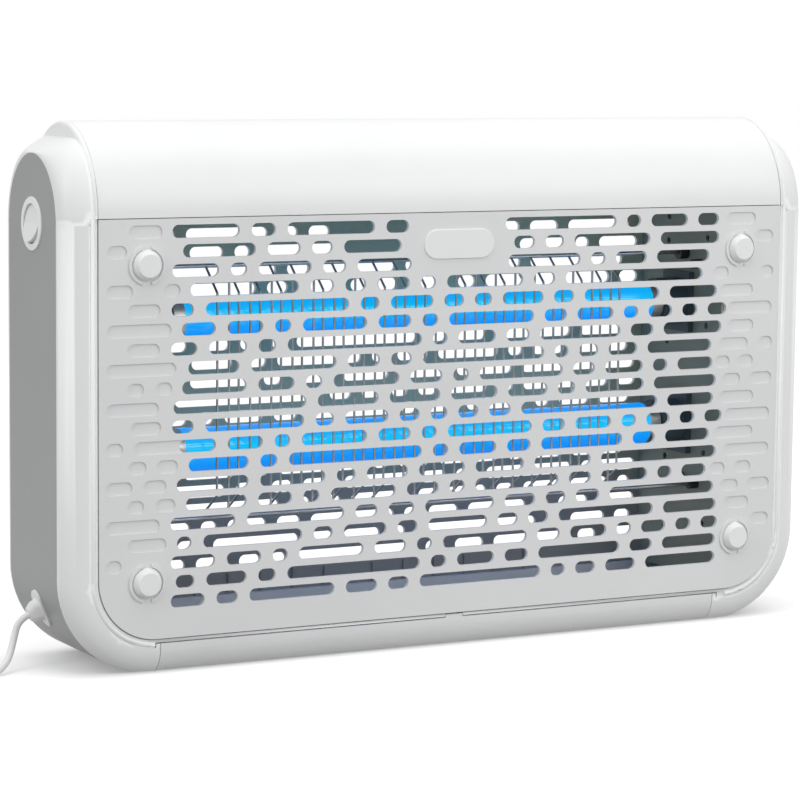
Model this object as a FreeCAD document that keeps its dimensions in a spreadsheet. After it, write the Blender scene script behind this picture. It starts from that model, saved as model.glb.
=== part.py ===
import FreeCAD, Part
import math
import os

# Electric bug zapper: a slim upright case with two ultraviolet tubes and a high-voltage wire grid
# between slotted front and rear panels, a top cover, a pull-out insect tray and a rocker switch.
# Millimetres.  +Z is up, the front faces -Y, and the origin is the centre of the underside.

doc = FreeCAD.newDocument("bug_zapper")
V = FreeCAD.Vector
AXIS_X = V(1, 0, 0)
AXIS_Y = V(0, 1, 0)
AXIS_Z = V(0, 0, 1)

# ---------------------------------------------------------------- driving sizes
SIZES = [
    # the case as a whole
    ("body_width", 490.0),
    ("body_depth", 96.0),
    ("overall_height", 308.0),
    ("corner_radius", 55.0),
    ("hood_base", 255.7),
    ("shoulder_base", 252.0),
    ("shoulder_top", 299.0),
    ("shoulder_side_top", 290.5),
    ("shoulder_flat", 18.0),
    ("shoulder_flat_out", 2.0),
    ("shoulder_inset", 0.05),
    ("shoulder_overlap", 2.0),
    # the rounded edge of the frame, as a quarter ellipse
    ("edge_reach", 16.0),
    ("edge_depth", 11.5),
    ("face_setback", 0.8),
    ("bead_width", 2.8),
    ("bead_offset", 17.0),
    ("bead_root", 0.4),
    ("frame_wall", 5.0),
    ("front_wall", 4.7),
    ("lip_width", 4.0),
    ("arch_width", 3.2),
    ("arch_round", 2.4),
    # slotted panels
    ("panel_inset", 20.0),
    ("panel_thickness", 2.5),
    ("panel_gap", 0.4),
    ("slot_height", 7.4),
    ("slot_web", 7.3),
    ("slot_field", 362.0),
    ("top_row", 248.0),
    ("bottom_row", 40.7),
    ("rear_row_lift", 2.2),
    ("recess_depth", 0.9),
    ("cap_place", 196.2),
    ("cap_high", 229.7),
    ("cap_low", 52.3),
    ("cap_base_radius", 8.9),
    ("cap_top_radius", 6.6),
    ("cap_height", 4.6),
    ("rim_outer_radius", 11.0),
    ("rim_width", 1.6),
    ("rim_height", 1.1),
    ("rim_notch", 5.0),
    ("screw_radius", 1.5),
    ("screw_head_radius", 3.0),
    ("screw_head_height", 1.3),
    ("screw_reach", 18.0),
    ("rib_pitch", 21.4),
    ("rib_height", 1.6),
    ("pad_length", 46.0),
    ("pad_height", 17.0),
    ("pad_thickness", 0.9),
    # grey bands let into the sides
    ("band_width", 70.8),
    ("band_thickness", 2.5),
    ("band_top", 290.0),
    ("band_foot", 3.0),
    ("band_clearance", 0.15),
    # top cover
    ("hood_wall", 2.5),
    ("hood_edge_radius", 0.6),
    ("hood_inset", 20.0),
    # insect tray
    ("tray_length", 368.6),
    ("tray_shift", -3.1),
    ("tray_height", 17.3),
    ("tray_clearance", 0.4),
    ("tray_gap", 0.7),
    ("gap_reach", 3.8),
    ("gap_drop", 3.0),
    ("tray_wall", 2.0),
    ("tray_floor", 5.6),
    ("tray_depth", 71.0),
    ("latch_width", 11.4),
    ("latch_clearance", 0.4),
    ("latch_thickness", 2.4),
    ("tray_rib_pitch", 41.0),
    # chamber between the panels
    ("chamber_half", 185.0),
    ("chamber_wall", 2.0),
    ("deck_thickness", 2.0),
    ("boss_radius", 4.0),
    ("boss_bore", 1.5),
    ("post_radius", 5.0),
    # tubes and their holders
    ("tube_radius", 13.0),
    ("tube_length", 313.4),
    ("glass_wall", 0.9),
    ("tube_cap_length", 7.5),
    ("upper_tube_height", 194.4),
    ("lower_tube_height", 118.7),
    ("tube_pin_spacing", 12.7),
    ("tube_pin_radius", 1.2),
    ("tube_pin_length", 6.5),
    ("holder_radius", 14.5),
    # wire grid
    ("wire_radius", 0.7),
    ("rod_radius", 1.1),
    ("wire_pitch", 13.4),
    ("first_wire", 141.5),
    ("neutral_shift", 7.3),
    ("wire_plane", 21.5),
    ("live_rod_plane", 5.0),
    ("live_rod_top", 224.9),
    ("live_rod_bottom", 83.2),
    ("live_bend_top", 210.5),
    ("live_bend_bottom", 94.5),
    ("neutral_rod_top", 218.7),
    ("neutral_rod_bottom", 82.2),
    ("bush_radius", 4.2),
    ("bush_length", 7.0),
    # rocker switch
    ("switch_height", 250.9),
    ("bezel_radius", 15.1),
    ("bezel_proud", 0.8),
    ("bezel_round", 0.6),
    ("rocker_radius", 10.6),
    ("rocker_proud", 0.5),
    ("rocker_thickness", 5.8),
    ("rocker_tilt", 10.0),
    ("rocker_crease", 1.0),
    ("pivot_radius", 1.2),
    ("pivot_depth", 2.0),
    ("barrel_radius", 12.3),
    ("barrel_length", 9.0),
    # mains lead
    ("cord_diameter", 4.0),
    ("gland_angle", 23.0),
    ("gland_reach", 8.0),
    ("gland_hole_radius", 5.2),
    ("gland_flange_length", 23.0),
    ("gland_flange_width", 12.4),
    ("gland_flange_thickness", 1.2),
    ("coil_inner_radius", 15.9),
    ("coil_outer_radius", 28.3),
    ("coil_height", 16.5),
    # electrics standing on the deck
    ("ballast_length", 62.0),
    ("ballast_width", 34.0),
    ("ballast_height", 28.0),
    ("transformer_length", 44.0),
    ("transformer_width", 40.0),
    ("transformer_height", 36.0),
    ("board_length", 70.0),
    ("board_width", 52.0),
    ("board_height", 2.0),
    ("block_length", 30.0),
    ("block_width", 18.0),
    ("block_height", 14.0),
    ("starter_radius", 10.0),
    ("starter_height", 34.0),
]
# how many of each repeated piece
LIVE_WIRES = 21
NEUTRAL_WIRES = 20
SLOT_ROWS = 20

sheet = doc.addObject("Spreadsheet::Sheet", "Sizes")
for row, (alias, value) in enumerate(SIZES, start=1):
    sheet.set("A%d" % row, alias)
    sheet.set("B%d" % row, str(value))
    sheet.setAlias("B%d" % row, alias)
doc.recompute()


def size(alias):
    """The value of one named size, in millimetres or degrees."""
    return float(sheet.get(alias))


# ---------------------------------------------------------------- values worked out from the sizes
side_x = size("body_width") / 2
front_y = -size("body_depth") / 2
corner = size("corner_radius")
corner_x = side_x - corner
face_y = front_y + size("face_setback")
edge_rho = corner - size("edge_reach")
edge_y = face_y + size("edge_depth")
panel_half = side_x - size("panel_inset")
panel_rho = corner - size("panel_inset")
panel_back = front_y + size("panel_thickness")
shoulder_z = size("shoulder_base")
hood_z = size("hood_base")
gap = size("panel_gap")
cavity_rho = corner - size("frame_wall")
cavity_y = face_y + size("front_wall")
chamber_top = shoulder_z - 0.6
band_half = size("band_width") / 2
band_rho = corner - size("band_thickness")
band_end = corner_x - size("band_foot")
clear = size("band_clearance")
hood_rise = size("overall_height") - hood_z
# planes well outside the case, for tools that cut right through it
beyond_x = 400.0
beyond_y = 60.0
beyond_z = 320.0

# which sub-parts the document keeps, in the order they are made
made = []


def keep(shape, label):
    """Store a finished shape as a sub-part of its own."""
    obj = doc.addObject("Part::Feature", label)
    obj.Label = label
    obj.Shape = shape
    obj.Placement = shape.Placement
    made.append(obj)
    return obj


def keep_object(obj, label):
    """Name a parametric object as a finished sub-part."""
    obj.Label = label
    made.append(obj)
    return obj


def box(x0, x1, y0, y1, z0, z1):
    return Part.makeBox(x1 - x0, y1 - y0, z1 - z0, V(x0, y0, z0))


def rod_x(radius, x0, x1, y, z):
    return Part.makeCylinder(radius, x1 - x0, V(x0, y, z), AXIS_X)


def rod_y(radius, y0, y1, x, z):
    return Part.makeCylinder(radius, y1 - y0, V(x, y0, z), AXIS_Y)


def joined(shapes):
    """Fuse shapes that touch into one clean solid."""
    first = shapes[0]
    if len(shapes) > 1:
        first = first.multiFuse(shapes[1:])
    return first.removeSplitter()


def mirrored_x(shape):
    return shape.mirror(V(0, 0, 0), AXIS_X)


def both_sides(shape):
    """The shape and its mirror image in the centre plane, fused."""
    return joined([shape, mirrored_x(shape)])


def quarter_ellipse(centre, tip_one, tip_two):
    """The arc from one tip to the other; the longer half axis has to come first for Part.Ellipse."""
    if (tip_one - centre).Length >= (tip_two - centre).Length:
        return Part.ArcOfEllipse(Part.Ellipse(tip_one, tip_two, centre), 0, math.pi / 2).toShape()
    whole = Part.Ellipse(tip_two, tip_one, centre)
    # tip_one may lie on either side of the minor axis, so the arc between the two tips is chosen
    for start in (0, -math.pi / 2):
        arc = Part.ArcOfEllipse(whole, start, start + math.pi / 2).toShape()
        ends = [vertex.Point for vertex in arc.Vertexes]
        if min((end - tip_one).Length for end in ends) < 0.01:
            if min((end - tip_two).Length for end in ends) < 0.01:
                return arc
    raise ValueError("no arc between the tips")


def closed_face(edges):
    return Part.Face(Part.Wire(Part.__sortEdges__(edges)))


def around_corner(face, top, foot):
    """Carry an outline (x outward from the corner's axis, y depth) down the side, round the corner,
    and in along the underside to x = foot.  The outline stands in the plane z = corner radius."""
    pivot = V(corner_x, 0, corner)
    parts = [face.extrude(V(0, 0, top - corner)), face.revolve(pivot, AXIS_Y, 90)]
    if foot < corner_x:
        turned = face.copy()
        turned.rotate(pivot, AXIS_Y, 90)
        parts.append(turned.extrude(V(foot - corner_x, 0, 0)))
    return joined(parts)


def rim_outline(inner_rho, reach_rho, reach, flat_y, side_y):
    """Front-to-back outline of a frame section: flat face, elliptical edge, straight side, and the
    same again at the back.  inner_rho is where it starts, measured from the corner's axis."""
    def at(rho, y):
        return V(corner_x + rho, y, corner)
    arcs = [quarter_ellipse(at(reach_rho, sign * side_y), at(reach_rho + reach, sign * side_y),
                            at(reach_rho, sign * flat_y)) for sign in (1, -1)]
    lines = [
        Part.makeLine(at(inner_rho, flat_y), at(reach_rho, flat_y)),
        Part.makeLine(at(reach_rho + reach, side_y), at(reach_rho + reach, -side_y)),
        Part.makeLine(at(reach_rho, -flat_y), at(inner_rho, -flat_y)),
        Part.makeLine(at(inner_rho, -flat_y), at(inner_rho, flat_y)),
    ]
    return closed_face(arcs + lines)


def stadium(length, height, x, z):
    """Outline of a slot with round ends, in the plane y = 0."""
    half = length / 2 - height / 2
    r = height / 2
    return Part.Wire([
        Part.makeLine(V(x - half, 0, z + r), V(x + half, 0, z + r)),
        Part.Arc(V(x + half, 0, z + r), V(x + half + r, 0, z), V(x + half, 0, z - r)).toShape(),
        Part.makeLine(V(x + half, 0, z - r), V(x - half, 0, z - r)),
        Part.Arc(V(x - half, 0, z - r), V(x - half - r, 0, z), V(x - half, 0, z + r)).toShape(),
    ])


def pill(length, height, x, z):
    """The same outline, or a circle where the slot is no longer than it is high."""
    if length <= height + 0.05:
        return Part.Wire([Part.makeCircle(height / 2, V(x, 0, z), AXIS_Y)])
    return stadium(length, height, x, z)


# ---------------------------------------------------------------- case frame, front and rear halves
def shoulder_loft(x_start, reach, half_low, half_high, top_low, top_high, base_z):
    """End cap above the side wall: half-round sections across X, from the hood out to the side.
    It stands a hair inside the wall below and reaches down into it, so that the two join cleanly."""
    flat_out = size("shoulder_flat_out")
    inset = size("shoulder_inset")
    sunk = base_z - size("shoulder_overlap")
    sections = []
    steps = 6
    for step in range(steps + 1):
        turn = math.radians(90.0 * step / steps)
        x = x_start + (reach - inset) * math.sin(turn)
        half = half_low - inset + (half_high - half_low) * math.cos(turn)
        top = top_high - (top_high - top_low) * math.sin(turn)
        flat = flat_out + (size("shoulder_flat") - flat_out) * math.cos(turn)
        edges = [Part.makeLine(V(x, -flat, top), V(x, flat, top)),
                 Part.makeLine(V(x, -half, sunk), V(x, half, sunk))]
        for sign in (-1, 1):
            foot = V(x, sign * half, base_z)
            edges.append(quarter_ellipse(V(x, sign * flat, base_z), V(x, sign * flat, top), foot))
            edges.append(Part.makeLine(foot, V(x, sign * half, sunk)))
        sections.append(Part.Wire(Part.__sortEdges__(edges)))
    cap = Part.makeLoft(sections, True, False)
    inner = Part.Face(sections[0]).extrude(V(panel_half - x_start, 0, 0))
    return joined([cap, inner])


def body_solid(rho, reach, flat_y, side_y, side_top, ridge_top, base_z):
    """The whole case as one closed solid, without the hood."""
    outline = rim_outline(0, rho, reach, -flat_y, -side_y)
    lower = around_corner(outline, base_z, 0)
    middle = box(0, corner_x, -flat_y, flat_y, corner, base_z)
    x_start = corner_x + rho
    cap = shoulder_loft(x_start, reach, side_y, flat_y, side_top, ridge_top, base_z)
    return both_sides(joined([lower, middle, cap]))


def half_round(x0, x1, half, rise):
    """Half-elliptical prism along X, standing on the hood's lower edge."""
    base = V(x0, 0, hood_z)
    left = quarter_ellipse(base, V(x0, 0, hood_z + rise), V(x0, -half, hood_z))
    right = quarter_ellipse(base, V(x0, 0, hood_z + rise), V(x0, half, hood_z))
    foot = Part.makeLine(V(x0, -half, hood_z), V(x0, half, hood_z))
    return closed_face([left, right, foot]).extrude(V(x1 - x0, 0, 0))


def end_edges(shape, x):
    """The curved edges of a half-elliptical prism where it meets the planes +x and -x."""
    return [edge for edge in shape.Edges
            if abs(abs(edge.BoundBox.Center.x) - x) < 0.01 and edge.BoundBox.ZMax > hood_z + 1]


outer = body_solid(edge_rho, size("edge_reach"), -face_y, -edge_y,
                   size("shoulder_side_top"), size("shoulder_top"), shoulder_z)
cavity = body_solid(edge_rho, size("edge_reach") - size("frame_wall"), -cavity_y, -cavity_y - 9.5,
                    size("shoulder_side_top") - 4.0, size("shoulder_top") - 4.5, shoulder_z)
frame = outer.cut(cavity)
# a rim closes each end of the hood's opening and stands flush with the hood
arch_x = panel_half + size("arch_width")
arch = half_round(panel_half, arch_x, -front_y, hood_rise)
arch = arch.makeFillet(size("arch_round"), end_edges(arch, arch_x))
arch_foot = box(panel_half, arch_x, face_y, -face_y, shoulder_z, hood_z)
arch = joined([arch, arch_foot])
frame = joined([frame, arch, mirrored_x(arch)])
# the hood stands in this opening, between the two rims
open_half = panel_half + 0.3
frame = frame.cut(box(-open_half, open_half, -beyond_y, beyond_y, hood_z - 0.2, beyond_z))


def panel_outline(rho, top):
    """Outline of the panel opening, with round lower corners, as a face in the plane y = 0."""
    half = corner_x + rho
    foot = corner - rho
    a = rho * math.sin(math.radians(45))
    edges = [
        Part.makeLine(V(-half, 0, top), V(half, 0, top)),
        Part.makeLine(V(half, 0, top), V(half, 0, corner)),
        Part.Arc(V(half, 0, corner), V(corner_x + a, 0, corner - a), V(corner_x, 0, foot)).toShape(),
        Part.makeLine(V(corner_x, 0, foot), V(-corner_x, 0, foot)),
        Part.Arc(V(-corner_x, 0, foot), V(-corner_x - a, 0, corner - a),
                 V(-half, 0, corner)).toShape(),
        Part.makeLine(V(-half, 0, corner), V(-half, 0, top)),
    ]
    return closed_face(edges)


seat_foot = corner - panel_rho - gap
seat = panel_outline(panel_rho + gap, beyond_z)
window = panel_outline(panel_rho - size("lip_width"), beyond_z)
through = window.extrude(V(0, 2 * beyond_y, 0))
through.translate(V(0, -beyond_y, 0))
frame = frame.cut(through)
front_seat = seat.extrude(V(0, beyond_y + panel_back, 0))
front_seat.translate(V(0, -beyond_y, 0))
rear_seat = front_seat.mirror(V(0, 0, 0), AXIS_Y)
frame = frame.cut(front_seat).cut(rear_seat)

# shallow seat for the grey bands
groove_half = band_half + clear


def band_outline(rho, half):
    def at(r, y):
        return V(corner_x + r, y, corner)
    far = corner + 2
    points = [at(rho, -half), at(far, -half), at(far, half), at(rho, half), at(rho, -half)]
    return Part.Face(Part.makePolygon(points))


def band_arch(x0, x1, half, top):
    """Half-elliptical top of a band, from the height where the side wall ends."""
    base = V(x0, 0, shoulder_z)
    left = quarter_ellipse(base, V(x0, 0, top), V(x0, -half, shoulder_z))
    right = quarter_ellipse(base, V(x0, 0, top), V(x0, half, shoulder_z))
    foot = Part.makeLine(V(x0, -half, shoulder_z), V(x0, half, shoulder_z))
    return closed_face([left, right, foot]).extrude(V(x1 - x0, 0, 0))


groove = around_corner(band_outline(band_rho, groove_half), shoulder_z, band_end - clear)
arch = band_arch(side_x - size("band_thickness"), side_x + 2, groove_half, size("band_top") + clear)
groove = joined([groove, arch])
frame = frame.cut(groove).cut(mirrored_x(groove))

# raised bead just outside the panel, down the sides and round the lower corners
bead_rho = corner - size("bead_offset")


def bead_outline(sign):
    """Low crest with its foot sunk a little way into the frame's face."""
    half = size("bead_width") / 2
    y = sign * face_y
    root = sign * (face_y + size("bead_root"))
    near = corner_x + bead_rho - half
    far = corner_x + bead_rho + half
    crest = Part.Arc(V(near, y, corner), V(near + half, sign * front_y, corner), V(far, y, corner))
    sides = Part.makePolygon([V(far, y, corner), V(far, root, corner), V(near, root, corner),
                              V(near, y, corner)])
    return closed_face([crest.toShape()] + sides.Edges)


for sign in (1, -1):
    bead = around_corner(bead_outline(sign), hood_z, corner_x)
    frame = frame.fuse(bead).fuse(mirrored_x(bead))

# round opening for the switch, and the hole for the cord gland
switch_z = size("switch_height")
barrel_radius = size("barrel_radius")
barrel_end = -side_x + size("barrel_length")
barrel_hole = rod_x(barrel_radius + 0.2, -side_x - 5, barrel_end + 5, 0, switch_z)
gland_turn = math.radians(size("gland_angle"))
gland_axis = V(-math.cos(gland_turn), 0, -math.sin(gland_turn))
gland_centre = V(-corner_x, 0, corner)
gland_hole = Part.makeCylinder(size("gland_hole_radius"), 14, gland_centre + gland_axis * (corner - 12),
                               gland_axis)
frame = frame.cut(barrel_hole).cut(gland_hole)

# the tray's opening in the front, its mouth and the fine gap lines that run on past its ends
tray_half = size("tray_length") / 2
tray_shift = size("tray_shift")
mouth = tray_half + size("tray_clearance")
tray_gap = size("tray_gap")
mouth_top = size("tray_height") + tray_gap
tray_opening = box(-mouth, mouth, -beyond_y, edge_y + 0.3, -1, mouth_top)
gap_end = tray_half + size("gap_reach")
groove_back = front_y + 4
gap_line = box(mouth - 1, gap_end, -beyond_y, groove_back, mouth_top - tray_gap, mouth_top)
gap_drop = box(gap_end - tray_gap, gap_end, -beyond_y, groove_back, mouth_top - size("gap_drop"), mouth_top)
tray_cut = joined([tray_opening, gap_line, gap_drop, mirrored_x(gap_line), mirrored_x(gap_drop)])
tray_cut.translate(V(tray_shift, 0, 0))

half_space = box(-beyond_x, beyond_x, -beyond_y, 0, -20, beyond_z)
front_frame = frame.common(half_space).cut(tray_cut)
latch_half = size("latch_width") / 2 + size("latch_clearance")
latch_back = face_y + size("latch_thickness") + size("latch_clearance")
latch_seat = box(-latch_half, latch_half, -beyond_y, latch_back, mouth_top - 5, seat_foot)
front_frame = front_frame.cut(latch_seat)
rear_frame = frame.common(half_space.mirror(V(0, 0, 0), AXIS_Y))
keep(front_frame.removeSplitter(), "front_frame")
keep(rear_frame.removeSplitter(), "rear_frame")


# ---------------------------------------------------------------- grey side bands
def side_band():
    section = around_corner(band_outline(band_rho, band_half), shoulder_z, band_end)
    top = band_arch(side_x - size("band_thickness"), side_x, band_half, size("band_top"))
    skin = Part.makeCylinder(corner, 2 * band_half, V(corner_x, -band_half, corner), AXIS_Y)
    inside = joined([skin, box(0, side_x, -band_half, band_half, corner, beyond_z),
                     box(0, corner_x, -band_half, band_half, 0, corner)])
    return joined([section.common(inside), top])


right_band = side_band()
left_band = mirrored_x(right_band).cut(barrel_hole).cut(gland_hole)
keep(left_band, "left_side_band")
keep(right_band, "right_side_band")

# ---------------------------------------------------------------- slotted panels
# Slot lengths along each row from left to right.  A row starts where its first number says; a
# negative number is a wider solid stretch, and neighbours stand one web apart.
ROW_STARTS = [-181, -174.5, -181, -170, -181.5, -175.3, -181.7, -171.3, -175, -180.2,
              -181, -176.3, -171, -178.2, -172.5, -182, -178, -181.8, -178.8, -181.8]
SLOT_LENGTHS = [
    [41, 15, 55.5, 14.7, -64, 76, 10, 26, 15],
    [44.5, 20.5, 13, 37, -74.6, 14, 12.6, 53, 42],
    [28.3, 10, 33, 14.6, 35, -64.2, 49.2, 10, 21.7, 37.5],
    [67, 14.8, 13.3, 21, 9.8, 51, 14.5, 96.5],
    [13.5, 89.6, 12.2, 27.8, 13, 11.4, 27.6, 13.7, 52.6, 34],
    [20.8, 22, 10.2, 41, 21.3, 10.3, 57, 15.3, 25, 10.2, 16.8, 11, 13.6],
    [15.9, 23.2, 10.8, 86.2, 9.5, 25, 15.6, 55.6, 16, 41.7],
    [31.3, 53.8, 20.6, 13.4, 81.5, 9.4, 13.3, 20.2, 45.8],
    [39.5, 22.7, 10.2, 42.4, 21, 10.3, 56.5, 15, 26.4, 10.2, 25.3],
    [82.2, 39, 33.2, 30.9, 26.8, 11.8, 40.8, 44.7],
    [13, 61.5, 11.6, 27.8, 13.2, 11, 13.4, 14.5, 94.7, 33],
    [22, 21.8, 9.9, 41.8, 21, 10, 56.7, 15.5, 25, 10.2, 16.7, 10.6, 12.5],
    [37, 10.7, 85.7, 10.2, 24.9, 16, 56.6, 15.8, 31.7],
    [44.2, 41.2, 12.1, 26.8, 30.4, 32.7, 38.9, 82.1],
    [37.3, 21.2, 10.2, 42, 21, 10, 56.6, 15.3, 32.5, 10, 17.5],
    [39.8, 61.6, 14.2, 16.8, 46, 20.8, 13.6, 16.4, 74.3],
    [8.8, 61.8, 12.2, 27.5, 13.1, 39.2, 13.5, 13.6, 66.5, 38.1],
    [27.1, 21.5, 9.4, 41.2, 20.5, 9.9, 56.7, 15.5, 25.3, 10.2, 17.2, 10.9, 12],
    [11.5, 25, 11, 85.8, 10.2, 24.9, 15.8, 56.6, 15.9, 38.4],
    [20.8, 13.2, 54, 20.3, 13.4, 81.5, 9.8, 13.8, 21, 50.2],
]
# Blind recesses in the margins beside the slots, as (row, start, length).
RECESSES = [
    (1, -207, 20), (2, -220, 12), (4, -220.5, 16), (4, -186, 10), (5, -207.5, 19.5),
    (6, -220, 38.5), (7, -208, 19.5), (8, -220.5, 42), (9, -208, 10), (9, -191, 10),
    (10, -220.5, 31.5), (11, -206, 18.5), (12, -221, 10.5), (12, -204, 38), (13, -207.5, 11),
    (13, -190.5, 13), (14, -221, 16), (14, -198.5, 14), (15, -208, 10), (15, -191, 12),
    (16, -221, 32.5), (17, -208, 23.5), (18, -221, 9.5),
    (1, 186, 21), (2, 207, 13), (4, 177, 11), (4, 211, 9.5), (5, 182, 24), (6, 188, 32),
    (7, 188, 19), (8, 182, 21), (8, 211, 10), (9, 179, 11), (9, 196, 11), (10, 185, 13),
    (10, 205, 16), (11, 183, 25), (12, 187, 33), (13, 180, 28), (14, 187, 33), (15, 177, 11),
    (15, 195, 12), (16, 185, 13), (16, 205, 16), (17, 188, 18), (18, 208, 13),
]
PATTERN_WIDTH = 362.0
stretch = size("slot_field") / PATTERN_WIDTH
row_step = (size("top_row") - size("bottom_row")) / (SLOT_ROWS - 1)
web = size("slot_web")
slot_height = size("slot_height")


def row_height(number):
    return size("top_row") - row_step * (number - 1)


def slot_wires(lift):
    """Every through slot of one panel."""
    wires = []
    for number in range(1, SLOT_ROWS + 1):
        x = ROW_STARTS[number - 1]
        for length in SLOT_LENGTHS[number - 1]:
            if length < 0:
                x += -length - web
                continue
            middle = (x + length / 2) * stretch
            long = length * stretch
            wires.append(pill(long, slot_height, middle, row_height(number) + lift))
            x += length + web
    return wires


def recess_solids():
    """Blind recesses, drawn where they clear the side edges and the screw caps."""
    solids = []
    limit = panel_half - 3.0
    for number, start, length in RECESSES:
        x0 = max(start * stretch, -limit)
        x1 = min((start + length) * stretch, limit)
        tool = Part.Face(pill(x1 - x0, slot_height, (x0 + x1) / 2, row_height(number)))
        tool = tool.extrude(V(0, size("recess_depth") + 1, 0))
        tool.translate(V(0, front_y - 1, 0))
        solids.append(tool)
    return solids


# how far back the screw heads sit
head_back = front_y + size("screw_head_height") + 0.1
CAP_PLACES = [(sx * size("cap_place"), z) for sx in (-1, 1)
              for z in (size("cap_high"), size("cap_low"))]


def cap_rim(x, z):
    """Raised ring round a screw cap, open at the top and bottom for prising the cap out."""
    outer_radius = size("rim_outer_radius")
    back = front_y + 0.5
    ring = rod_y(outer_radius, front_y - size("rim_height"), back, x, z)
    ring = ring.cut(rod_y(outer_radius - size("rim_width"), front_y - 5, back + 1, x, z))
    notch = size("rim_notch") / 2
    return ring.cut(box(x - notch, x + notch, front_y - 5, back + 1, z - 20, z + 20))


def slotted_panel(lift):
    """Front panel, built facing -Y; the rear one is the same shape turned round."""
    blank = panel_outline(panel_rho - gap / 2, hood_z - gap)
    plate = Part.Face([blank.OuterWire] + slot_wires(lift))
    plate.validate()
    panel = plate.extrude(V(0, size("panel_thickness"), 0))
    panel.translate(V(0, front_y, 0))
    panel = panel.cut(Part.makeCompound(recess_solids()))
    rims = [cap_rim(x, z) for x, z in CAP_PLACES]
    # stiffening ribs behind the blank stretch below the lowest row, in two runs
    ribs = []
    low = corner - panel_rho + size("lip_width") + 1
    high = size("bottom_row") - slot_height / 2 - 0.8
    for first, count in ((-101.0, 6), (39.0, 7)):
        for step in range(count):
            x = (first + step * size("rib_pitch")) * stretch
            ribs.append(box(x - 0.7, x + 0.7, panel_back - 0.3, panel_back + size("rib_height"),
                            low, high))
    panel = panel.fuse(rims + ribs)
    # screw holes, sunk for the screw heads under the caps
    for x, z in CAP_PLACES:
        panel = panel.cut(rod_y(size("screw_radius") + 0.15, front_y - 1, panel_back + 1, x, z))
        panel = panel.cut(rod_y(size("screw_head_radius") + 0.4, front_y - 1, head_back, x, z))
    return panel.removeSplitter()


front_grille = slotted_panel(0.0)
rear_grille = slotted_panel(size("rear_row_lift"))
rear_grille.rotate(V(0, 0, 0), AXIS_Z, 180)
keep(front_grille, "front_grille")
keep(rear_grille, "rear_grille")

# plain oval pad in the solid stretch at the top of the front panel
pad_middle = row_height(2)
pad = Part.Face(stadium(size("pad_length"), size("pad_height"), 0, pad_middle))
pad = pad.extrude(V(0, size("pad_thickness"), 0))
pad = pad.makeFillet(0.4, [edge for edge in pad.Edges
                           if edge.BoundBox.YMax < 0.01])
pad.translate(V(0, front_y - size("pad_thickness"), 0))
keep(pad, "name_pad")


# ---------------------------------------------------------------- screws, caps and tie posts
def turned_round(shape):
    copy = shape.copy()
    copy.rotate(V(0, 0, 0), AXIS_Z, 180)
    return copy


def cap_group():
    caps = []
    for x, z in CAP_PLACES:
        cone = Part.makeCone(size("cap_base_radius"), size("cap_top_radius"), size("cap_height"),
                             V(x, front_y, z), V(0, -1, 0))
        rounded = [edge for edge in cone.Edges if edge.BoundBox.YMax < front_y - 4]
        caps.append(cone.makeFillet(0.8, rounded))
    return Part.makeCompound(caps)


front_caps = cap_group()
keep(front_caps, "front_screw_caps")
keep(turned_round(front_caps), "rear_screw_caps")

screws = []
for x, z in CAP_PLACES:
    head = rod_y(size("screw_head_radius"), front_y + 0.1, head_back, x, z)
    shank = rod_y(size("screw_radius"), head_back, front_y + size("screw_reach"), x, z)
    screws.append(joined([head, shank]))
front_screws = Part.makeCompound(screws)
keep(Part.makeCompound([front_screws, turned_round(front_screws)]), "panel_screws")

posts = []
for x, z in CAP_PLACES:
    post = rod_y(size("post_radius"), panel_back, -panel_back, x, z)
    bore_end = size("screw_reach") + 2
    for sign in (1, -1):
        post = post.cut(rod_y(size("screw_radius") + 0.05, sign * front_y - bore_end,
                              sign * front_y + bore_end, x, z))
    posts.append(post)
keep(Part.makeCompound(posts), "panel_posts")

# ---------------------------------------------------------------- chamber between the panels
SCREW_DOTS = [(-28.5, 235), (-28.5, 181), (-28.5, 102), (-28.5, 58), (15, 246), (15, 231),
              (15, 168), (15, 95), (15, 50)]
wall_inner = size("chamber_half")
wall_outer = wall_inner + size("chamber_wall")
wall_foot = corner - panel_rho + size("lip_width") + gap
rod_rows = [
    (-size("live_rod_plane"), size("live_rod_top")),
    (-size("live_rod_plane"), size("live_rod_bottom")),
    (-size("wire_plane"), size("neutral_rod_top")),
    (-size("wire_plane"), size("neutral_rod_bottom")),
]


def chamber_side():
    depth = -panel_back
    plate = box(wall_inner, wall_outer, -depth, depth, wall_foot, chamber_top)
    flange = box(wall_inner, wall_outer + 14, -cavity_y - 6, -cavity_y - 4, size("cap_low") + 8,
                 size("cap_high") - 8)
    plate = joined([plate, flange, flange.mirror(V(0, 0, 0), AXIS_Y)])
    for y, z in SCREW_DOTS:
        plate = plate.cut(rod_x(2.0, wall_inner - 1, wall_outer + 1, y, z))
    for y, z in rod_rows:
        plate = plate.cut(rod_x(2.6, wall_inner - 1, wall_outer + 1, y, z))
    for z in (size("upper_tube_height"), size("lower_tube_height")):
        plate = plate.cut(rod_x(4.0, wall_inner - 1, wall_outer + 1, 0, z))
    return plate


right_wall = chamber_side()
keep(mirrored_x(right_wall), "left_chamber_wall")
keep(right_wall, "right_chamber_wall")

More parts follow.
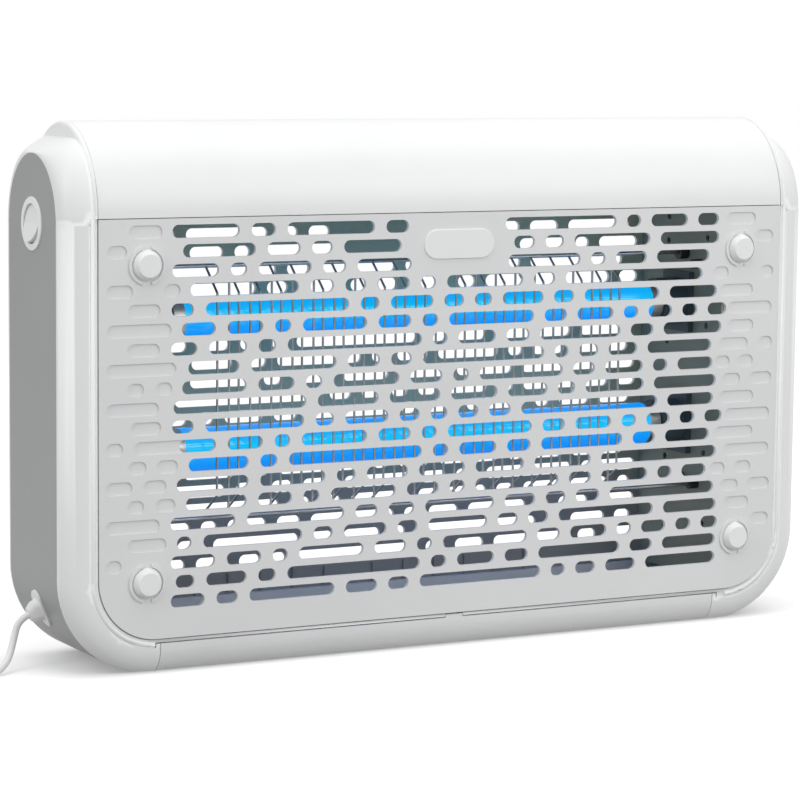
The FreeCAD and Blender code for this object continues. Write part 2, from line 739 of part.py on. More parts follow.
# deck that closes the chamber and carries the electrics, built as a sketch and a pad
deck = doc.addObject("PartDesign::Body", "top_deck")
plane = [p for p in deck.Origin.OriginFeatures if p.Role == "XY_Plane"][0]
deck_sketch = deck.newObject("Sketcher::SketchObject", "deck_outline")
deck_sketch.AttachmentSupport = [(plane, "")]
deck_sketch.MapMode = "FlatFace"
deck_sketch.AttachmentOffset = FreeCAD.Placement(V(0, 0, chamber_top), FreeCAD.Rotation())
deck_x = panel_half - 3
deck_y = -cavity_y - 0.5
corners = [V(-deck_x, -deck_y, 0), V(deck_x, -deck_y, 0), V(deck_x, deck_y, 0), V(-deck_x, deck_y, 0)]
for index in range(4):
    deck_sketch.addGeometry(Part.LineSegment(corners[index], corners[(index + 1) % 4]), False)
wire_hole_x = wall_outer + 18
hood_boss_x = wire_hole_x + 4
HOOD_BOSSES = [(sx * hood_boss_x, sy * 26.0) for sx in (-1, 1) for sy in (-1, 1)]
for x in (-wire_hole_x, wire_hole_x):
    deck_sketch.addGeometry(Part.Circle(V(x, 0, 0), AXIS_Z, 6.0), False)
for x, y in HOOD_BOSSES:
    deck_sketch.addGeometry(Part.Circle(V(x, y, 0), AXIS_Z, size("boss_bore") + 0.3), False)
deck_pad = deck.newObject("PartDesign::Pad", "deck_plate")
deck_pad.Profile = deck_sketch
deck_pad.setExpression("Length", "Sizes.deck_thickness")
deck.Tip = deck_pad
keep_object(deck, "top_deck")


# ---------------------------------------------------------------- top cover
hood_half = side_x - size("hood_inset")
wall = size("hood_wall")


hood = half_round(-hood_half, hood_half, -front_y, hood_rise)
hood = hood.makeFillet(size("hood_edge_radius"), end_edges(hood, hood_half))
hollow = half_round(-hood_half + wall, hood_half - wall, -front_y - wall, hood_rise - wall)
# four bosses reach down to the deck, for screws driven up from below it
deck_top = chamber_top + size("deck_thickness")
bosses = []
for x, y in HOOD_BOSSES:
    boss = Part.makeCylinder(size("boss_radius"), hood_rise, V(x, y, deck_top), AXIS_Z)
    boss = boss.cut(Part.makeCylinder(size("boss_bore") + 0.05, 14, V(x, y, deck_top - 1), AXIS_Z))
    bosses.append(boss.common(joined([hood, box(-hood_half, hood_half, -40, 40, deck_top, hood_z)])))
hood = joined([hood.cut(hollow)] + bosses)
keep(hood, "hood")

hood_screws = []
for x, y in HOOD_BOSSES:
    head = Part.makeCylinder(size("screw_head_radius"), 1.8, V(x, y, chamber_top - 1.8), AXIS_Z)
    shank = Part.makeCylinder(size("boss_bore"), 12, V(x, y, chamber_top - 0.2), AXIS_Z)
    hood_screws.append(joined([head, shank]))
keep(Part.makeCompound(hood_screws), "hood_screws")

# ---------------------------------------------------------------- ultraviolet tubes and holders
def tube_glass(z):
    half = size("tube_length") / 2
    radius = size("tube_radius")
    skin = rod_x(radius, -half, half, 0, z)
    return skin.cut(rod_x(radius - size("glass_wall"), -half + 2, half - 2, 0, z))


def tube_caps(z):
    half = size("tube_length") / 2
    length = size("tube_cap_length")
    ends = []
    for sign in (-1, 1):
        start = sign * half
        stop = sign * (half + length)
        cap = rod_x(size("tube_radius") - 0.2, min(start, stop), max(start, stop), 0, z)
        pins = []
        for side in (-1, 1):
            pin_z = z + side * size("tube_pin_spacing") / 2
            tip = stop + sign * size("tube_pin_length")
            pins.append(rod_x(size("tube_pin_radius"), min(stop, tip), max(stop, tip), 0, pin_z))
        ends.append(joined([cap] + pins))
    return Part.makeCompound(ends)


def tube_holder(z):
    """Moulded holder on the right wall: a round block with a turning pocket for the pins and a
    slot to slide them in from the front."""
    face_x = size("tube_length") / 2 + size("tube_cap_length") + 0.5
    radius = size("holder_radius")
    block = rod_x(radius, face_x, wall_inner, 0, z)
    foot = box(wall_inner - 4, wall_inner, -radius, radius, z - radius - 4, z + radius + 4)
    spigot = rod_x(3.8, wall_inner, wall_outer + 3, 0, z)
    block = joined([block, foot, spigot])
    pocket_radius = size("tube_pin_spacing") / 2 + size("tube_pin_radius") + 0.7
    pocket_end = face_x + size("tube_pin_length") + 0.6
    block = block.cut(rod_x(pocket_radius, face_x - 1, pocket_end, 0, z))
    slot = size("tube_pin_radius") + 0.6
    return block.cut(box(face_x - 1, pocket_end, -radius - 1, 0, z - slot, z + slot))


for name, z in (("upper", size("upper_tube_height")), ("lower", size("lower_tube_height"))):
    keep(tube_glass(z), name + "_lamp_tube")
    keep(tube_caps(z), name + "_lamp_caps")
    holder = tube_holder(z)
    keep(mirrored_x(holder), name + "_left_lampholder")
    keep(holder, name + "_right_lampholder")


# ---------------------------------------------------------------- high-voltage wire grid
def bent_wire(x):
    """One live wire: forward off the top rod, straight down in front of the tubes, back to the
    lower rod."""
    rod_y_place = -size("live_rod_plane")
    wire_y = -size("wire_plane")
    stops = [V(x, rod_y_place, size("live_rod_top")), V(x, wire_y, size("live_bend_top")),
             V(x, wire_y, size("live_bend_bottom")), V(x, rod_y_place, size("live_rod_bottom"))]
    pieces = []
    for start, stop in zip(stops, stops[1:]):
        run = stop - start
        pieces.append(Part.makeCylinder(size("wire_radius"), run.Length, start, run))
    for bend in stops[1:3]:
        pieces.append(Part.makeSphere(size("wire_radius"), bend))
    return pieces


rod_reach = wall_outer + 1
live = [rod_x(size("rod_radius"), -rod_reach, rod_reach, -size("live_rod_plane"), z)
        for z in (size("live_rod_top"), size("live_rod_bottom"))]
for number in range(LIVE_WIRES):
    live += bent_wire(-size("first_wire") + number * size("wire_pitch"))
keep(live[0].multiFuse(live[1:]), "live_grid_wires")

neutral = [rod_x(size("rod_radius"), -rod_reach, rod_reach, -size("wire_plane"), z)
           for z in (size("neutral_rod_top"), size("neutral_rod_bottom"))]
for number in range(NEUTRAL_WIRES):
    x = -size("first_wire") + size("neutral_shift") + number * size("wire_pitch")
    span = size("neutral_rod_top") - size("neutral_rod_bottom")
    neutral.append(Part.makeCylinder(size("wire_radius"), span,
                                     V(x, -size("wire_plane"), size("neutral_rod_bottom")), AXIS_Z))
keep(neutral[0].multiFuse(neutral[1:]), "neutral_grid_wires")

bushes = []
for index, (y, z) in enumerate(rod_rows):
    radius = size("bush_radius") if index < 2 else size("bush_radius") - 1.2
    start = wall_inner - size("bush_length") + 1
    bush = joined([rod_x(radius, start, wall_inner, y, z), rod_x(2.5, wall_inner, wall_outer, y, z)])
    bush = bush.cut(rod_x(size("rod_radius") + 0.05, start - 1, wall_outer + 1, y, z))
    bushes += [bush, mirrored_x(bush)]
keep(Part.makeCompound(bushes), "grid_bushes")


# ---------------------------------------------------------------- insect tray
def tray_shape():
    """Shallow drawer whose front carries on the frame's rounded lower edge."""
    half = tray_half
    height = size("tray_height")
    reach = size("edge_reach")

    def shell(inset):
        """Front moulding's outline in the YZ plane, thinner by the inset."""
        y_side = edge_y
        centre = V(-half, y_side, reach)
        low = V(-half, y_side, inset)
        front = V(-half, face_y + inset, reach)
        edges = [quarter_ellipse(centre, low, front),
                 Part.makeLine(front, V(-half, face_y + inset, height)),
                 Part.makeLine(V(-half, face_y + inset, height), V(-half, y_side, height)),
                 Part.makeLine(V(-half, y_side, height), low)]
        return closed_face(edges).extrude(V(2 * half, 0, 0))
    wall_t = size("tray_wall")
    front = shell(0).cut(shell(wall_t + 0.4))
    ends = box(-half, -half + wall_t, face_y + 2, edge_y, reach - 12, height)
    ends = ends.common(shell(0))
    back_y = edge_y + size("tray_depth")
    floor_z = size("tray_floor")
    trough = box(-half, half, face_y + 4.2, back_y, floor_z, height - 0.6)
    basin = box(-half + wall_t, half - wall_t, face_y + 2.4, back_y - wall_t, floor_z + 1.6, height + 1)
    trough = trough.cut(basin)
    pieces = [front, ends, mirrored_x(ends), trough]
    count = int(half // size("tray_rib_pitch"))
    for step in range(-count, count + 1):
        x = step * size("tray_rib_pitch")
        pieces.append(box(x - 0.6, x + 0.6, face_y + 4, back_y - 1, floor_z + 1, floor_z + 4))
    return joined(pieces)


tray = tray_shape()
tray.translate(V(tray_shift, 0, 0))
latch_x = size("latch_width") / 2
latch = box(-latch_x, latch_x, face_y, face_y + size("latch_thickness"), size("tray_height") - 2,
            seat_foot - size("latch_clearance"))
keep(joined([tray, latch]), "tray")

# ---------------------------------------------------------------- rocker switch
bezel_radius = size("bezel_radius")
bezel_face = -side_x - size("bezel_proud")
bore = size("rocker_radius") + 0.7
flange = rod_x(bezel_radius, bezel_face, -side_x, 0, switch_z)
flange = flange.makeFillet(size("bezel_round"), [edge for edge in flange.Edges
                                               if edge.BoundBox.XMax < bezel_face + 0.1])
bezel = joined([flange, rod_x(barrel_radius, -side_x, barrel_end, 0, switch_z)])
bezel = bezel.cut(rod_x(bore, bezel_face - 2, barrel_end + 3, 0, switch_z))
# the rocker's two pivots turn in holes through the bezel's barrel
pivot_x = -side_x + size("pivot_depth")
pivot_reach = barrel_radius - 0.2
bezel = bezel.cut(rod_y(size("pivot_radius") + 0.3, -barrel_radius, barrel_radius, pivot_x, switch_z))
keep(bezel, "switch_bezel")

rocker_radius = size("rocker_radius")
rocker_face = bezel_face - size("rocker_proud")
rocker_back = rocker_face + size("rocker_thickness")
outline = [V(rocker_face, 0, -rocker_radius - 1), V(rocker_face + size("rocker_crease"), 0, 0),
           V(rocker_face, 0, rocker_radius + 1), V(rocker_back, 0, rocker_radius + 1),
           V(rocker_back, 0, -rocker_radius - 1)]
wedge = Part.Face(Part.makePolygon(outline + outline[:1])).extrude(V(0, 40, 0))
wedge.translate(V(0, -20, switch_z))
disc = wedge.common(rod_x(rocker_radius, pivot_x - 8, pivot_x + 8, 0, switch_z))
rocker = joined([disc, rod_y(size("pivot_radius"), -pivot_reach, pivot_reach, pivot_x, switch_z)])
# at rest the upper half is pressed in
rocker.rotate(V(pivot_x, 0, switch_z), AXIS_Y, size("rocker_tilt"))
keep(rocker, "switch_rocker")

switch_end = -panel_half - 2
housing = rod_x(barrel_radius - 0.3, barrel_end, switch_end - 4, 0, switch_z)
blades = [box(switch_end - 4, switch_end, y - 2.4, y + 2.4, switch_z - 0.4, switch_z + 0.4)
          for y in (-5.0, 5.0)]
keep(joined([housing] + blades), "switch_body")


# ---------------------------------------------------------------- cord gland
def gland_frame(shape):
    """Turn a shape built on +X at the origin so that it points out of the lower left corner."""
    shape.rotate(V(0, 0, 0), AXIS_Y, 180 - size("gland_angle"))
    shape.translate(gland_centre)
    return shape


def oval_face(length, width, rho):
    """Slot-shaped outline standing in the plane x = rho, long way up the corner."""
    wire = stadium(length, width, 0, 0)
    wire.rotate(V(0, 0, 0), AXIS_Y, 90)
    wire.rotate(V(0, 0, 0), AXIS_Z, 90)
    wire.translate(V(rho, 0, 0))
    return wire


gland_top = corner + size("gland_reach")
flange_face = Part.Face(oval_face(size("gland_flange_length"), size("gland_flange_width"), corner - 5))
flange_solid = flange_face.extrude(V(12, 0, 0))
ring = Part.makeCylinder(corner + size("gland_flange_thickness"), 40, V(0, -20, 0), AXIS_Y)
ring = ring.cut(Part.makeCylinder(corner, 40, V(0, -20, 0), AXIS_Y))
flange_solid = flange_solid.common(ring)
boss = Part.makeLoft([oval_face(13.6, 9.8, corner - 0.5), oval_face(12.6, 9.0, corner + 4.5),
                      oval_face(8.0, 6.4, gland_top)], True, True)
boss = boss.cut(Part.makeCylinder(corner + 0.3, 40, V(0, -20, 0), AXIS_Y))
shank = Part.makeCylinder(5.0, 9, V(corner - 8, 0, 0), AXIS_X)
lock = Part.makeCylinder(8.0, 2.0, V(corner - 8, 0, 0), AXIS_X)
gland = gland_frame(joined([flange_solid, boss, shank, lock]))
keep(gland, "strain_relief")

# ---------------------------------------------------------------- mains lead, coil and plug
cord_radius = size("cord_diameter") / 2
floor_z = cord_radius + 0.1
exit_point = gland_centre + gland_axis * gland_top
COIL_CENTRE = V(-308.0, 8.0, 0)
LEAD_ROUTE = [
    exit_point,
    V(-254.4, 0, 27.6),
    V(-257.6, -1.5, 17.5),
    V(-262.5, -6.0, 6.5),
    V(-272.0, -14.5, floor_z),
    V(-286.0, -19.5, floor_z),
    V(-303.0, -18.4, floor_z),
]
TAIL_ROUTE = [
    V(-304.0, 35.0, floor_z),
    V(-290.0, 38.5, floor_z),
    V(-277.0, 46.5, floor_z),
    V(-270.5, 60.0, floor_z),
    V(-271.0, 75.0, floor_z),
]


def lead_tube(route, label, radius_of_lead):
    """A round lead along straight runs joined by tangent arcs as large as the runs allow."""
    edges = []
    start = route[0]
    radii = []
    for before, here, after in zip(route, route[1:], route[2:]):
        into = here - before
        out = after - here
        shorter = min(into.Length, out.Length)
        turn = into.getAngle(out)
        radius = 0.45 * shorter / math.tan(turn / 2)
        radii.append(radius)
        cut_back = 0.45 * shorter
        arc_start = here - into.normalize() * cut_back
        arc_stop = here + out.normalize() * cut_back
        inward = (arc_start + arc_stop) * 0.5 - here
        middle_gap = radius / math.cos(turn / 2) - radius
        arc_middle = here + inward.normalize() * middle_gap
        edges.append(Part.LineSegment(start, arc_start).toShape())
        edges.append(Part.Arc(arc_start, arc_middle, arc_stop).toShape())
        start = arc_stop
    edges.append(Part.LineSegment(start, route[-1]).toShape())
    path = Part.Wire(edges)
    direction = route[1] - route[0]
    profile = Part.Wire([Part.makeCircle(radius_of_lead, route[0], direction)])
    tube = path.makePipeShell([profile], True, False, 2)
    expected = math.pi * radius_of_lead ** 2 * path.Length
    print("%s: length %.1f mm, arc radii %s, volume %.3f of expected" % (
        label, path.Length, [round(r, 1) for r in radii], tube.Volume / expected))
    keep(tube, label)


lead_tube(LEAD_ROUTE, "cord_lead", cord_radius)
lead_tube(TAIL_ROUTE, "cord_tail", cord_radius)

# inside the case: the same lead goes on up the left side, through the deck to the terminal block
inner_start = gland_centre + gland_axis * (corner - 8)
block_end = -size("chamber_half") - 8
INNER_ROUTE = [
    inner_start,
    inner_start - gland_axis * 12,
    V(-214, 0, 66),
    V(-211, 0, 90),
    V(-212, 2, 118),
    V(-216, 0, 164),
    V(-213, -2, 208),
    V(-wire_hole_x, 0, chamber_top - 8),
    V(-wire_hole_x - 0.6, 0, deck_top + 8.5),
    V(block_end, 0, deck_top + 8.5),
]
lead_tube(INNER_ROUTE, "inner_mains_lead", cord_radius - 0.3)

# the wound part of the lead, as the outer shape of the whole coil
def coil_corner(radius, height):
    return COIL_CENTRE + V(radius, 0, height)


coil_in = size("coil_inner_radius")
coil_out = size("coil_outer_radius")
coil_height = size("coil_height")
ring_face = Part.Face(Part.makePolygon([
    coil_corner(coil_in, 0.1), coil_corner(coil_out, 0.1), coil_corner(coil_out, coil_height),
    coil_corner(coil_in, coil_height), coil_corner(coil_in, 0.1)]))
coil = ring_face.revolve(COIL_CENTRE, AXIS_Z, 360)
coil = coil.makeFillet(1.8, [edge for edge in coil.Edges if edge.Closed])
keep(coil, "cord_coil")

# two-blade plug lying on the same surface
plug_start = TAIL_ROUTE[-1]
plug_way = (TAIL_ROUTE[-1] - TAIL_ROUTE[-2]).normalize()
plug_turn = math.degrees(math.atan2(plug_way.y, plug_way.x))


def along_plug(shape):
    shape.rotate(V(0, 0, 0), AXIS_Z, plug_turn)
    shape.translate(V(plug_start.x, plug_start.y, 0))
    return shape


def plug_section(x, half_width, half_height):
    return Part.Wire([Part.Ellipse(V(x, half_width, 6.5), V(x, 0, 6.5 + half_height),
                                   V(x, 0, 6.5)).toShape()])


grip = Part.makeLoft([plug_section(7, 4.6, 4.2), plug_section(14, 8.0, 5.6),
                      plug_section(24, 10.5, 6.2), plug_section(32, 11.5, 6.3)], True, False)
neck = Part.makeCone(cord_radius + 0.6, 3.9, 9, V(0, 0, cord_radius + 0.1 + 0.6), V(9, 0, 3.2))
face_plate = Part.makeCylinder(6.3, 3, V(32, 0, 6.5), AXIS_X)
plug = joined([neck, grip, face_plate])
keep(along_plug(plug), "plug_body")
blades = [box(35, 51, y - 0.75, y + 0.75, 3.3, 9.7) for y in (-4.35, 4.35)]
keep(along_plug(Part.makeCompound(blades)), "plug_pins")


# ---------------------------------------------------------------- electrics on the deck
def deck_box(label, kind, x):
    """A boxed component standing on the deck, as a parametric box sized by the sheet."""
    obj = doc.addObject("Part::Box", label)
    for side in ("Length", "Width", "Height"):
        obj.setExpression(side, "Sizes.%s_%s" % (kind, side.lower()))
    corner_point = V(x - size(kind + "_length") / 2, -size(kind + "_width") / 2, deck_top)
    obj.Placement = FreeCAD.Placement(corner_point, FreeCAD.Rotation())
    return keep_object(obj, label)


deck_box("left_ballast", "ballast", -120.0)
deck_box("right_ballast", "ballast", 120.0)
deck_box("hv_transformer", "transformer", 30.0)
deck_box("circuit_board", "board", -45.0)
deck_box("terminal_block", "block", block_end + size("block_length") / 2)
for name, x in (("upper_starter", 168.0), ("lower_starter", 192.0)):
    starter = doc.addObject("Part::Cylinder", name)
    starter.setExpression("Radius", "Sizes.starter_radius")
    starter.setExpression("Height", "Sizes.starter_height")
    starter.Placement = FreeCAD.Placement(V(x, 0, deck_top), FreeCAD.Rotation())
    keep_object(starter, name)

# ---------------------------------------------------------------- checks and export
doc.recompute()
problems = []
for obj in doc.Objects:
    if "Invalid" in obj.State or "Error" in obj.State:
        problems.append("%s is %s" % (obj.Name, obj.State))
for obj in made:
    if obj.Shape.isNull() or not obj.Shape.isValid():
        problems.append("%s has no valid shape" % obj.Label)
    if not obj.Shape.Solids:
        problems.append("%s has no solid" % obj.Label)
if problems:
    raise RuntimeError("; ".join(problems))

os.makedirs("parts", exist_ok=True)
for obj in made:
    obj.Shape.exportStep("parts/%s.step" % obj.Label)
print("sub-parts: %d" % len(made))
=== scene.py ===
import math

import bmesh
import bpy
from mathutils import Matrix, Vector


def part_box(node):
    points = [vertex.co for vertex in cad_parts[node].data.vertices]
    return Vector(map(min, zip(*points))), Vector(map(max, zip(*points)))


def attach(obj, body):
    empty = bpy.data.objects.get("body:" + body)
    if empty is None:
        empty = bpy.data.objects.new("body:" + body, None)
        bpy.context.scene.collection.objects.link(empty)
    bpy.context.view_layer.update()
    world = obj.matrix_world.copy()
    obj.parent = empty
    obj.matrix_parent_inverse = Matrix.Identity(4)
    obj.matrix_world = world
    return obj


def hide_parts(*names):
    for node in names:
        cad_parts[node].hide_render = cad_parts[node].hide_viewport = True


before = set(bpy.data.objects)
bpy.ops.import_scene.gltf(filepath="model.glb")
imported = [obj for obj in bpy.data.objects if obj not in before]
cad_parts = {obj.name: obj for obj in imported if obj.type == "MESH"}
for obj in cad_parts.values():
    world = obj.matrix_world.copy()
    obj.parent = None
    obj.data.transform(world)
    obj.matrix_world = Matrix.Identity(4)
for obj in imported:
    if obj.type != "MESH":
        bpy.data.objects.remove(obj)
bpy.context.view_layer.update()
MM = 0.001
scene = bpy.context.scene


# ---------------------------------------------------------------- camera, light and floor
# The object is seen a little from its left and from just above its top edge, through a long lens,
# on a plain pale floor in a bright, even studio light.
FOCAL_LENGTH = 140.07
SENSOR_WIDTH = 36.0
CAMERA_PLACE = (-0.8758, -1.6229, 0.3596)
CAMERA_YAW = math.radians(28.018)
CAMERA_PITCH = math.radians(6.775)
CAMERA_ROLL = math.radians(0.557)
camera_data = bpy.data.cameras.new("camera")
camera_data.lens = FOCAL_LENGTH
camera_data.sensor_width = SENSOR_WIDTH
camera = bpy.data.objects.new("camera", camera_data)
scene.collection.objects.link(camera)
turn = Matrix.Rotation(-CAMERA_YAW, 4, "Z") @ Matrix.Rotation(math.pi / 2 - CAMERA_PITCH, 4, "X")
turn = turn @ Matrix.Rotation(CAMERA_ROLL, 4, "Z")
camera.matrix_world = Matrix.Translation(CAMERA_PLACE) @ turn
scene.camera = camera

scene.view_settings.view_transform = "Standard"

# the room is brightest overhead and dim below, and the backdrop behind the object is plain white
world = bpy.data.worlds.new("studio")
world.use_nodes = True
scene.world = world
nodes = world.node_tree.nodes
links = world.node_tree.links
nodes.clear()
backdrop = nodes.new("ShaderNodeBackground")
backdrop.inputs["Color"].default_value = (1.0, 1.0, 1.0, 1)
backdrop.inputs["Strength"].default_value = 1.1
way = nodes.new("ShaderNodeTexCoord")
height = nodes.new("ShaderNodeSeparateXYZ")
level = nodes.new("ShaderNodeMapRange")
level.inputs["From Min"].default_value = -1.0
level.inputs["From Max"].default_value = 1.0
brightness = nodes.new("ShaderNodeValToRGB")
brightness.color_ramp.elements[0].color = (0.24, 0.24, 0.24, 1)
brightness.color_ramp.elements[1].color = (0.95, 0.95, 0.95, 1)
horizon = brightness.color_ramp.elements.new(0.5)
horizon.color = (0.50, 0.50, 0.50, 1)
room_light = nodes.new("ShaderNodeBackground")
room_light.inputs["Strength"].default_value = 1.1
seen = nodes.new("ShaderNodeLightPath")
either = nodes.new("ShaderNodeMixShader")
output = nodes.new("ShaderNodeOutputWorld")
links.new(way.outputs["Generated"], height.inputs["Vector"])
links.new(height.outputs["Z"], level.inputs["Value"])
links.new(level.outputs["Result"], brightness.inputs["Fac"])
links.new(brightness.outputs["Color"], room_light.inputs["Color"])
links.new(seen.outputs["Is Camera Ray"], either.inputs["Fac"])
links.new(room_light.outputs["Background"], either.inputs[1])
links.new(backdrop.outputs["Background"], either.inputs[2])
links.new(either.outputs["Shader"], output.inputs["Surface"])


def softbox(name, place, aim, width, height, watts):
    """Large rectangular studio light turned towards a point."""
    data = bpy.data.lights.new(name, "AREA")
    data.shape = "RECTANGLE"
    data.size = width
    data.size_y = height
    data.energy = watts
    lamp = bpy.data.objects.new(name, data)
    scene.collection.objects.link(lamp)
    facing = (Vector(aim) - Vector(place)).to_track_quat("-Z", "Y")
    lamp.matrix_world = Matrix.Translation(place) @ facing.to_matrix().to_4x4()


# each light's place and the point it is turned to, its width and height, and its power
softbox("key", (0.55, -1.1, 0.75), (0.15, 0, 0.15), 0.7, 0.6, 4.2)
softbox("overhead", (-0.1, -0.2, 2.2), (0, 0, 0.1), 2.0, 1.4, 9)
softbox("left_rim", (-1.5, -0.45, 0.9), (-0.2, 0, 0.15), 0.3, 1.2, 3.5)

FLOOR_REACH = 12.0
floor_mesh = bpy.data.meshes.new("floor")
floor = bpy.data.objects.new("floor", floor_mesh)
scene.collection.objects.link(floor)
bm = bmesh.new()
bmesh.ops.create_grid(bm, x_segments=1, y_segments=1, size=FLOOR_REACH)
bm.to_mesh(floor_mesh)
bm.free()
floor_paint = bpy.data.materials.new("pale_floor")
floor_paint.use_nodes = True
surface = floor_paint.node_tree.nodes["Principled BSDF"]
surface.inputs["Base Color"].default_value = (0.95, 0.95, 0.95, 1)
surface.inputs["Roughness"].default_value = 0.75
surface.inputs["Specular IOR Level"].default_value = 0.2
surface.inputs["Emission Color"].default_value = (1.0, 1.0, 1.0, 1)
surface.inputs["Emission Strength"].default_value = 0.17
floor_mesh.materials.append(floor_paint)
# the floor throws no light back up on to the object, which keeps its underside in shade
floor.visible_diffuse = False


# ---------------------------------------------------------------- mains lead
# A white two-core lead, 4 mm thick, leaves the gland, drops to the floor and is wound up beside the
# case in a small neat coil, with its plug lying behind the coil.
CORD_THICKNESS = 4.0
GLAND_TURN = math.radians(23.0)
CORNER_RADIUS = 55.0
GLAND_REACH = 8.0
case_half = -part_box("left_side_band")[0].x / MM
gland_arm = CORNER_RADIUS + GLAND_REACH
exit_point = Vector((CORNER_RADIUS - case_half - gland_arm * math.cos(GLAND_TURN), 0,
                     CORNER_RADIUS - gland_arm * math.sin(GLAND_TURN)))
COIL_CENTRE = Vector((-308.0, 8.0, 0.0))
RING_RADII = [26.2, 22.1, 18.0]
LAYER_STEP = 4.1
LOWEST = 2.1
LEAD_ROUTE = [
    exit_point,
    Vector((-254.4, 0, 27.6)),
    Vector((-257.6, -1.5, 17.5)),
    Vector((-262.5, -6.0, 6.5)),
    Vector((-272.0, -14.5, LOWEST)),
    Vector((-286.0, -19.5, LOWEST)),
    Vector((-298.0, -19.0, LOWEST)),
]
TAIL_ROUTE = [
    Vector((-304.0, 38.4, LOWEST)),
    Vector((-290.0, 39.5, LOWEST)),
    Vector((-277.0, 46.5, LOWEST)),
    Vector((-270.5, 60.0, LOWEST)),
    Vector((-271.0, 75.0, LOWEST)),
]
# (turns wound so far, ring, layer): the lead spirals in, climbs a layer, spirals out, and so on
WINDING = [
    (0.0, 0, 0), (0.93, 0, 0), (1.0, 1, 0), (1.93, 1, 0), (2.0, 2, 0), (2.86, 2, 0), (2.93, 2, 1),
    (3.78, 2, 1), (3.86, 1, 1), (4.78, 1, 1), (4.86, 0, 1), (5.7, 0, 1), (5.78, 0, 2),
    (5.93, 0, 2), (6.0, 1, 2), (6.93, 1, 2), (7.0, 2, 2), (7.86, 2, 2), (7.93, 2, 3),
    (8.78, 2, 3), (8.86, 1, 3), (9.78, 1, 3), (9.86, 0, 3), (10.0, 0, 3), (10.12, -1.1, 3),
    (10.44, -1.1, 0),
]
POINTS_PER_TURN = 24


def coil_points():
    """Control points of the wound part, clockwise from the side nearest the viewer."""
    points = []
    leg = 0
    for count in range(int(WINDING[-1][0] * POINTS_PER_TURN) + 1):
        wound = count / POINTS_PER_TURN
        while WINDING[leg + 1][0] < wound:
            leg += 1
        start, stop = WINDING[leg], WINDING[leg + 1]
        share = (wound - start[0]) / (stop[0] - start[0])
        ring = start[1] + (stop[1] - start[1]) * share
        layer = start[2] + (stop[2] - start[2]) * share
        radius = RING_RADII[0] - (RING_RADII[0] - RING_RADII[1]) * ring
        angle = -math.pi / 2 - 2 * math.pi * wound
        points.append(COIL_CENTRE + Vector((radius * math.cos(angle), radius * math.sin(angle),
                                            LOWEST + LAYER_STEP * layer)))
    return points


lead_curve = bpy.data.curves.new("mains_lead", "CURVE")
lead_curve.dimensions = "3D"
lead_line = lead_curve.splines.new("NURBS")
lead_points = LEAD_ROUTE + coil_points() + TAIL_ROUTE
lead_line.points.add(len(lead_points) - 1)
for spot, place in zip(lead_line.points, lead_points):
    spot.co = (*(place * MM), 1.0)
lead_line.order_u = 3
lead_line.use_endpoint_u = True
lead_line.resolution_u = 6
lead_curve.bevel_depth = CORD_THICKNESS / 2 * MM
lead_curve.bevel_resolution = 4
lead_curve.use_fill_caps = True
mains_lead = bpy.data.objects.new("mains_lead", lead_curve)
scene.collection.objects.link(mains_lead)

SHARP_ANGLE = math.radians(32.0)
FLAT_ANGLE = math.radians(0.6)
WELD_DISTANCE = 0.01 * MM
EVEN_WEIGHT = 50


def softened(node, width, body, curved=False):
    """A copy of a CAD piece with its facets merged and its sharp edges rounded.

    The shading of a curved piece is averaged by corner, and that of a flat one by face size."""
    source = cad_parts[node]
    mesh = bpy.data.meshes.new(node + "_moulding")
    bm = bmesh.new()
    bm.from_mesh(source.data)
    bmesh.ops.remove_doubles(bm, verts=bm.verts, dist=WELD_DISTANCE)
    bmesh.ops.dissolve_limit(bm, angle_limit=FLAT_ANGLE, verts=bm.verts, edges=bm.edges,
                             use_dissolve_boundaries=False)
    bm.to_mesh(mesh)
    bm.free()
    piece = bpy.data.objects.new(node + "_moulding", mesh)
    scene.collection.objects.link(piece)
    mesh.shade_smooth()
    mesh.set_sharp_from_angle(angle=SHARP_ANGLE)
    rounding = piece.modifiers.new("rounded_edges", "BEVEL")
    rounding.width = width
    rounding.segments = 2
    rounding.limit_method = "ANGLE"
    rounding.angle_limit = SHARP_ANGLE
    rounding.use_clamp_overlap = True
    shading = piece.modifiers.new("even_shading", "WEIGHTED_NORMAL")
    shading.mode = "CORNER_ANGLE" if curved else "FACE_AREA"
    shading.weight = EVEN_WEIGHT
    shading.keep_sharp = True
    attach(piece, body)
    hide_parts(node)
    return piece


